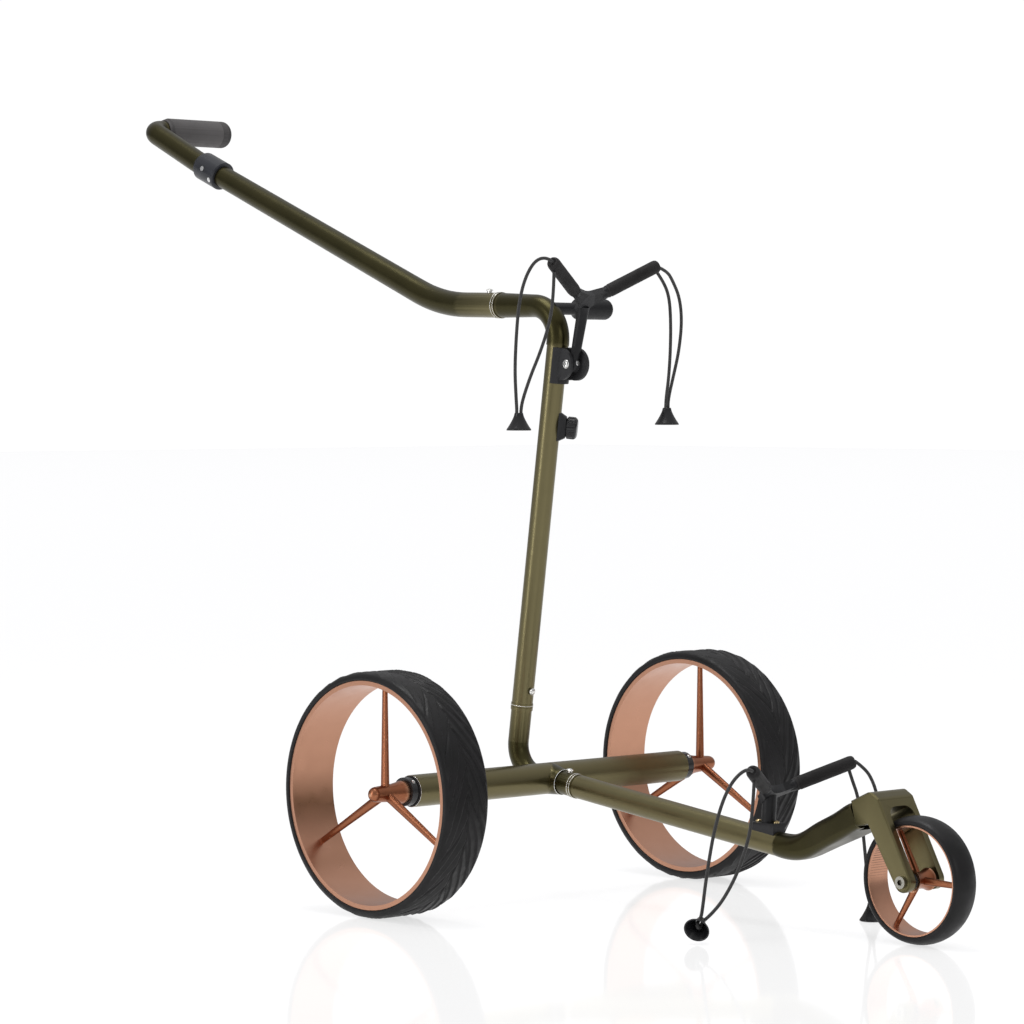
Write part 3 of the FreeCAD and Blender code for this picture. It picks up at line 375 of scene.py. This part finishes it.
CORDS = {
    "upper_left_cord": [
        (0.0896, -0.1587, 0.7636), (0.1020, -0.1583, 0.7520), (0.1125, -0.1577, 0.7340),
        (0.1160, -0.1571, 0.7050), (0.1156, -0.1569, 0.6680), (0.1120, -0.1574, 0.6340),
        (0.1072, -0.1577, 0.6105), (0.1063, -0.1579, 0.5970), (0.1045, -0.1580, 0.5860),
        (0.1123, -0.1577, 0.5860), (0.1107, -0.1575, 0.5970), (0.1119, -0.1570, 0.6100),
        (0.1225, -0.1557, 0.6380), (0.1345, -0.1533, 0.6680), (0.1410, -0.1521, 0.7040),
        (0.1360, -0.1531, 0.7330), (0.1205, -0.1567, 0.7525), (0.1055, -0.1611, 0.7650),
        (0.0918, -0.1599, 0.7693)],
    "upper_right_cord": [
        (-0.0907, -0.1604, 0.7722), (-0.1010, -0.1615, 0.7775), (-0.1120, -0.1526, 0.7735),
        (-0.1205, -0.1441, 0.7520), (-0.1265, -0.1403, 0.7220), (-0.1292, -0.1387, 0.6840),
        (-0.1308, -0.1379, 0.6440), (-0.1294, -0.1385, 0.6120), (-0.1284, -0.1392, 0.5925),
        (-0.1300, -0.1383, 0.5805), (-0.1232, -0.1423, 0.5805), (-0.1247, -0.1414, 0.5920),
        (-0.1230, -0.1424, 0.6070), (-0.1138, -0.1473, 0.6370), (-0.1044, -0.1525, 0.6620),
        (-0.0950, -0.1577, 0.6930), (-0.0888, -0.1603, 0.7260), (-0.0866, -0.1591, 0.7602)],
    "lower_left_cord": [
        (0.0824, -0.4773, 0.1772), (0.0870, -0.4777, 0.1660), (0.0945, -0.4797, 0.1480),
        (0.1000, -0.4815, 0.1180), (0.1035, -0.4831, 0.0840), (0.1056, -0.4847, 0.0540),
        (0.1086, -0.4867, 0.0320), (0.1094, -0.4873, 0.0195), (0.1075, -0.4874, 0.0085),
        (0.1155, -0.4879, 0.0085), (0.1137, -0.4877, 0.0195), (0.1150, -0.4873, 0.0320),
        (0.1215, -0.4867, 0.0560), (0.1256, -0.4867, 0.0860), (0.1260, -0.4869, 0.1180),
        (0.1210, -0.4875, 0.1450), (0.1115, -0.4879, 0.1645), (0.1000, -0.4867, 0.1790),
        (0.0882, -0.4808, 0.1883)],
    "lower_right_cord": [
        (-0.0882, -0.4808, 0.1884), (-0.0980, -0.4851, 0.1920), (-0.1085, -0.4816, 0.1880),
        (-0.1195, -0.4771, 0.1760), (-0.1310, -0.4745, 0.1560), (-0.1425, -0.4731, 0.1250),
        (-0.1505, -0.4723, 0.0910), (-0.1556, -0.4717, 0.0640), (-0.1586, -0.4712, 0.0430),
        (-0.1620, -0.4711, 0.0268), (-0.1740, -0.4756, 0.0226), (-0.1704, -0.4756, 0.0156),
        (-0.1598, -0.4711, 0.0228), (-0.1470, -0.4723, 0.0300), (-0.1300, -0.4739, 0.0435),
        (-0.1105, -0.4757, 0.0685), (-0.0955, -0.4773, 0.0980), (-0.0850, -0.4781, 0.1310),
        (-0.0796, -0.4760, 0.1762)],
}
CORD_DIAMETER = 0.004
cord_body = {"upper": "upper_bag_bracket", "lower": "front_arm"}


def braid(name, points):
    curve = bpy.data.curves.new(name + "_braid", "CURVE")
    curve.dimensions = "3D"
    curve.bevel_depth = CORD_DIAMETER / 2
    curve.bevel_resolution = 6
    curve.resolution_u = 24
    curve.use_fill_caps = True
    spline = curve.splines.new("NURBS")
    spline.points.add(len(points) - 1)
    for spot, point in zip(spline.points, points):
        spot.co = (*point, 1.0)
    spline.order_u = 3
    spline.use_endpoint_u = True
    curve.materials.append(cord_weave)
    cord = bpy.data.objects.new(name + "_braid", curve)
    bpy.context.collection.objects.link(cord)
    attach(cord, cord_body[name.split("_")[0]])
    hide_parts(name)
    return cord


cord_pieces = {name: braid(name, points) for name, points in CORDS.items()}


# ---- cord caps: hollow cones with a rolled rim, from (radius, along) pairs starting at the tip ----

cap_places = {
    "upper": ((at(108.5, -95.7, 598.5), DOWN), (at(-126.5, -78.2, 593.0), DOWN)),
    "lower": ((at(111.5, -425.4, 21.4), DOWN), (at(-161.0, -408.6, 24.7), Vector((-0.80, -0.40, -0.42)))),
}
cap_outer = [(0.0045, 0.0), (0.0050, 0.0003), (0.0053, 0.0014), (0.0057, 0.0032), (0.0066, 0.0056),
             (0.0080, 0.0086), (0.0097, 0.0118), (0.0116, 0.0150), (0.0134, 0.0178), (0.0144, 0.0192),
             (0.0147, 0.0198), (0.0148, 0.0204), (0.0146, 0.0208), (0.0142, 0.0210)]
cap_inner = [(0.0136, 0.0208), (0.0129, 0.0197), (0.0110, 0.0166), (0.0091, 0.0134), (0.0075, 0.0102),
             (0.0060, 0.0070), (0.0049, 0.0042), (0.0044, 0.0010)]
CAP_SEGMENTS = 72
for level, places in cap_places.items():
    parts = [(turn_to(axis, tip), ring_mesh(cap_outer + cap_inner, CAP_SEGMENTS)) for tip, axis in places]
    cap = placed(level + "_cone_caps", parts, gloss, cord_body[level])
    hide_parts(level + "_cord_caps")

for level in ("upper", "lower"):
    for side in ("left", "right"):
        name = level + "_" + side + "_cord"


# ---- foam sleeves on the bracket arms ----

SLEEVE_START, SLEEVE_RADIUS, SLEEVE_LENGTH = 0.0327, 0.00825, 0.076
SLEEVE_RINGS, SLEEVE_PITCH, SLEEVE_SEGMENTS = 50, 0.0013, 64
FOAM_DEPTH = 0.00022
sleeve_hubs = {
    "upper": (at(0, -61.0, 724.5), Vector((0.832, -0.342, 0.437))),
    "lower": (at(0, -365.5, 152.0), Vector((0.807, -0.487, 0.333))),
}


def sleeve_profile():
    """A moulded lip at the hub, the long plain run and a rounded end with a cord hole."""
    lip = [(0.0, 0.0), (0.0062, 0.0), (0.0073, 0.0002), (0.0078, 0.0009), (0.0079, 0.0022),
           (0.0075, 0.0029), (0.0076, 0.0037), (0.0081, 0.0044)]
    run = [(SLEEVE_RADIUS, 0.0055 + SLEEVE_PITCH * i) for i in range(SLEEVE_RINGS)]
    end = [(0.0081, 0.0712), (0.0077, 0.0733), (0.0070, 0.0748), (0.0060, 0.0757), (0.0050, SLEEVE_LENGTH),
           (0.0044, 0.0757), (0.0041, 0.0750), (0.0, 0.0749)]
    return lip + run + end


def foam_surface(seed):
    """Foam is never quite round: it swells and dimples by a fraction of a millimetre."""
    def shape(angle, radius, along):
        spot = Vector((math.cos(angle) * 1.4, math.sin(angle) * 1.4, along * 90.0 + seed))
        return radius - FOAM_DEPTH * (0.5 + 0.5 * noise.noise(spot)), along
    return shape


for level, (hub, arm) in sleeve_hubs.items():
    parts = []
    for side in (1, -1):
        line = Vector((arm.x * side, arm.y, arm.z)).normalized()
        surface = foam_surface(7.0 * side + len(level) + hub.z * 10)
        parts.append((turn_to(line, hub + line * SLEEVE_START),
                      lathe_mesh(sleeve_profile(), SLEEVE_SEGMENTS, surface)))
    sleeves = placed(level + "_foam_sleeves", parts, foam, cord_body[level])
    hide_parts(level + "_sleeves")


# ---- tyres ----

REAR_RADIUS, REAR_HALF_WIDTH, REAR_SEGMENTS = 0.145, 0.034, 900
TREAD_HALF_WIDTH, TREAD_STEPS, TREAD_START, TREAD_TURNS = 0.0240, 60, 0.1415, 10
BLADE_DEPTH, SLIT_DEPTH, CENTRE_DEPTH = 0.0019, 0.0013, 0.0011
BLADE_SHARE, BLADE_RETURN = 0.88, 7.33
FRONT_RADIUS, FRONT_SEGMENTS = 0.0724, 360
CROWN_HEIGHT, CROWN_HALF_WIDTH, CROWN_SPAN, CROWN_STEPS = 0.0024, 0.0129, 0.0131, 40


def rear_profile():
    """From the seat, up one side wall, across the tread and down the other, in metres."""
    side = [(0.13235, 0.0298), (0.1345, 0.0300), (0.1349, 0.0318), (0.1351, 0.0332), (0.1358, 0.0338),
            (0.1368, REAR_HALF_WIDTH)]
    side += arc((0.1362, 0.0252), 0.0088, 78.0, 4.0, 9)
    tread = [(REAR_RADIUS, TREAD_HALF_WIDTH - 2 * TREAD_HALF_WIDTH * i / TREAD_STEPS)
             for i in range(TREAD_STEPS + 1)]
    return side + tread + mirrored(side)


def rear_tread(angle, radius, along):
    """Long diagonal blades on both sides of a shallow zigzag, each stepping down to its neighbour."""
    across = along / REAR_HALF_WIDTH
    depth = max(0.0, min(1.0, (0.93 - abs(across)) / 0.14)) if radius > TREAD_START else 0.0
    if not depth:
        return radius, along
    turn = angle / (2 * math.pi) * TREAD_TURNS
    zig = 0.10 * (abs(2 * (turn % 1.0) - 1) - 0.5)
    hand = 0.5 if across > zig else 0.0
    off = abs(across - zig)
    blade = (3 * turn + 2.5 * off + 0.8 * off * off + hand) % 1.0
    fall = blade if blade < BLADE_SHARE else (1.0 - blade) * BLADE_RETURN
    ridge = (1.5 * turn + 1.0 * off + hand + 0.3) % 1.0
    slit = max(0.0, 1.0 - abs(ridge - 0.5) / 0.05)
    centre = max(0.0, 1.0 - off / 0.04)
    return radius - depth * (BLADE_DEPTH * fall + SLIT_DEPTH * slit + CENTRE_DEPTH * centre), along


def front_profile():
    """A smooth crowned tread between two round shoulders with a fine moulding line on each."""
    side = [(0.0603, 0.01400), (0.0618, 0.01405), (0.0622, 0.01640), (0.0627, 0.01725), (0.0636, 0.01795),
            (0.0650, 0.01805), (0.0662, 0.0177), (0.0674, 0.0170), (0.0684, 0.0160), (0.0692, 0.0148),
            (0.0698, 0.01345)]
    crown = []
    for i in range(CROWN_STEPS + 1):
        along = CROWN_HALF_WIDTH - 2 * CROWN_HALF_WIDTH * i / CROWN_STEPS
        crown.append((FRONT_RADIUS - CROWN_HEIGHT * (along / CROWN_SPAN) ** 2, along))
    return side + crown + mirrored(side)


def wheel_matrix(node, axis):
    low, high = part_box(node)
    return turn_to(axis, (low + high) / 2)


for side, sign in (("right", -1), ("left", 1)):
    parts = [(wheel_matrix(side + "_tyre", Vector((sign, 0, 0))),
              ring_mesh(rear_profile(), REAR_SEGMENTS, rear_tread))]
    tyre = placed(side + "_tread_tyre", parts, tread_rubber, side + "_wheel")
    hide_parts(side + "_tyre")

parts = [(wheel_matrix("front_tyre", ACROSS), ring_mesh(front_profile(), FRONT_SEGMENTS))]
tyre = placed("front_smooth_tyre", parts, tread_rubber, "front_wheel")
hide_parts("front_tyre")


# ---- screws with driven heads ----

SCREW_SEGMENTS, SCREW_RINGS = 60, 26
SCREW_SEAT = 0.0004


def screw_mesh(radius, height, depth):
    """A domed head on Z with a cross recess of the given depth."""
    arm, thick = radius * 0.52, radius * 0.13

    def shape(angle, reach, along):
        if along is None:
            x, y = abs(reach * math.cos(angle)), abs(reach * math.sin(angle))
            inside = max(x, y) < arm and min(x, y) < thick
            along = height * (1.0 - 0.55 * (reach / radius) ** 3.2) - (depth if inside else 0.0)
        return reach, along
    profile = [(0.0, -SCREW_SEAT), (radius, -SCREW_SEAT), (radius, height * 0.4)]
    profile += [(radius * (1 - i / SCREW_RINGS), None) for i in range(1, SCREW_RINGS)]
    return lathe_mesh(profile + [(0.0, height - depth)], SCREW_SEGMENTS, shape)


def rod_mesh(radius, length):
    return lathe_mesh([(0.0, 0.0), (radius, 0.0), (radius, length), (0.0, length)], 32)


PIVOT_HEAD = 0.0034
low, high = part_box("pivot_bolt")
middle = (low + high) / 2
half = (high.x - low.x) / 2 - PIVOT_HEAD
parts = [(turn_to(ACROSS, Vector((low.x + PIVOT_HEAD, middle.y, middle.z))), rod_mesh(0.0039, 2 * half))]
for sign in (-1, 1):
    face = Vector((sign * half, middle.y, middle.z))
    parts.append((turn_to(Vector((sign, 0, 0)), face), screw_mesh(0.0055, 0.0032, 0.0013)))
bolt = placed("pivot_screw", parts, steel, "mast", smooth=False)
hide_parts("pivot_bolt")

parts = [(turn_to(Vector((0, -1, 0.1)), at(0, -50.2, 652.6)), screw_mesh(0.0031, 0.0009, 0.0007))]
placed("eye_screw", parts, steel, "upper_bag_bracket", smooth=False)

BRASS_RADIUS = 0.0036
low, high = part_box("lower_bracket_screws")
parts = [(turn_to(UP, Vector((0, y, low.z + SCREW_SEAT))), screw_mesh(BRASS_RADIUS, 0.0024, 0.0009))
         for y in (low.y + BRASS_RADIUS, high.y - BRASS_RADIUS)]
screws = placed("bracket_screws_brass", parts, brass, "front_arm", smooth=False)
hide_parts("lower_bracket_screws")


# ---- joint lines: the thin bright rings where the tubes part ----

LINE_OFFSET, LINE_THICKNESS = 0.0019, 0.00036
LINE_SEGMENTS, LINE_SIDES = 96, 10
MAST_LEAN, NOSE_SLOPE, RUN_SLOPE = math.radians(8), math.radians(7.44), math.radians(1.5)
NOSE_JOINT, NOSE_SADDLE, AXLE_END = 0.048, 0.0258, 0.2290

mast_joint = at(0, 47.0, 230.6)
mast_line = Vector((0, -math.sin(MAST_LEAN), math.cos(MAST_LEAN)))
axle_centre = at(0, 0, 145.0)
nose_line = Vector((0, -math.cos(NOSE_SLOPE), -math.sin(NOSE_SLOPE)))
nose_joint = axle_centre + nose_line * NOSE_JOINT
handle_low, handle_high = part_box("handle_ring")
run_line = Vector((0, math.cos(RUN_SLOPE), math.sin(RUN_SLOPE)))
handle_joint = Vector((0, handle_low.y - 0.0001, (handle_low.z + handle_high.z) / 2))


def torus_mesh(major, minor):
    turns = [2 * math.pi * i / LINE_SIDES for i in range(LINE_SIDES)]
    return ring_mesh([(major + minor * math.cos(a), minor * math.sin(a)) for a in turns], LINE_SEGMENTS)


joint_lines = (
    ("mast_stub_line", "chassis", mast_joint - mast_line * LINE_OFFSET, mast_line, 0.0133),
    ("mast_foot_line", "mast", mast_joint + mast_line * LINE_OFFSET, mast_line, 0.0136),
    ("nose_stub_line", "chassis", nose_joint - nose_line * LINE_OFFSET, nose_line, 0.0149),
    ("nose_tube_line", "front_arm", nose_joint + nose_line * LINE_OFFSET, nose_line, 0.0149),
    ("nose_saddle_line", "chassis", axle_centre + nose_line * NOSE_SADDLE, nose_line, 0.0156),
    ("elbow_end_line", "mast", handle_joint - run_line * LINE_OFFSET, run_line, 0.0161),
    ("handle_foot_line", "handle", handle_joint + run_line * LINE_OFFSET, run_line, 0.0161),
    ("axle_right_line", "chassis", axle_centre - ACROSS * AXLE_END, ACROSS, 0.0187),
    ("axle_left_line", "chassis", axle_centre + ACROSS * AXLE_END, ACROSS, 0.0187),
)
for name, rider, base, axis, radius in joint_lines:
    parts = [(turn_to(axis, base), torus_mesh(radius, LINE_THICKNESS))]
    placed(name, parts, silver, rider)


# ---- floor, light and surroundings ----

FLOOR_HALF = 30.0
FLOOR_GAP = 0.0002


def studio_floor():
    """A lit white sweep with a faint, slightly blurred reflection."""
    material = bpy.data.materials.new("studio_floor")
    material.use_nodes = True
    surface = material.node_tree.nodes["Principled BSDF"]
    surface.inputs["Base Color"].default_value = (0.4, 0.4, 0.4, 1)
    surface.inputs["Emission Color"].default_value = (1, 1, 1, 1)
    surface.inputs["Emission Strength"].default_value = 0.67
    surface.inputs["Roughness"].default_value = 0.07
    surface.inputs["Specular IOR Level"].default_value = 0.34
    return material


floor_data = bpy.data.meshes.new("floor")
corners = [(-FLOOR_HALF, -FLOOR_HALF, 0), (FLOOR_HALF, -FLOOR_HALF, 0),
           (FLOOR_HALF, FLOOR_HALF, 0), (-FLOOR_HALF, FLOOR_HALF, 0)]
floor_data.from_pydata(corners, [], [(0, 1, 2, 3)])
floor_data.materials.append(studio_floor())
floor = bpy.data.objects.new("floor", floor_data)
floor.location.z = min(0.0, cad_low.z) - FLOOR_GAP
bpy.context.collection.objects.link(floor)


def softbox(name, location, target, size, power):
    data = bpy.data.lights.new(name, "AREA")
    data.shape = "RECTANGLE"
    data.size, data.size_y = size
    data.energy = power
    lamp = bpy.data.objects.new(name, data)
    lamp.location = location
    lamp.rotation_euler = (Vector(target) - Vector(location)).to_track_quat("-Z", "Y").to_euler()
    bpy.context.collection.objects.link(lamp)


softbox("overhead", (-0.3, 0.2, 3.4), (0, 0, 0.3), (1.5, 1.5), 42)
softbox("left_strip", (-3.6, 0.9, 1.3), (0, 0, 0.5), (0.5, 2.6), 30)
softbox("front_fill", (-1.2, -4.2, 1.6), (0, 0, 0.4), (1.6, 1.2), 14)


def surroundings():
    """Soft light that brightens with height; the camera itself sees a white backdrop."""
    world = bpy.data.worlds.new("studio")
    bpy.context.scene.world = world
    world.use_nodes = True
    tree = world.node_tree
    tree.nodes.clear()
    output = tree.nodes.new("ShaderNodeOutputWorld")
    place = tree.nodes.new("ShaderNodeTexCoord")
    split = tree.nodes.new("ShaderNodeSeparateXYZ")
    ramp = tree.nodes.new("ShaderNodeValToRGB")
    low, high = ramp.color_ramp.elements
    low.position, low.color = 0.0, (0.34, 0.34, 0.35, 1)
    high.position, high.color = 0.8, (0.85, 0.85, 0.86, 1)
    surround = tree.nodes.new("ShaderNodeBackground")
    surround.inputs["Strength"].default_value = 0.9
    backdrop = tree.nodes.new("ShaderNodeBackground")
    backdrop.inputs["Color"].default_value = (1, 1, 1, 1)
    backdrop.inputs["Strength"].default_value = 1.02
    rays = tree.nodes.new("ShaderNodeLightPath")
    choose = tree.nodes.new("ShaderNodeMixShader")
    tree.links.new(place.outputs["Generated"], split.inputs["Vector"])
    tree.links.new(split.outputs["Z"], ramp.inputs["Fac"])
    tree.links.new(ramp.outputs["Color"], surround.inputs["Color"])
    tree.links.new(rays.outputs["Is Camera Ray"], choose.inputs["Fac"])
    tree.links.new(surround.outputs["Background"], choose.inputs[1])
    tree.links.new(backdrop.outputs["Background"], choose.inputs[2])
    tree.links.new(choose.outputs["Shader"], output.inputs["Surface"])


surroundings()
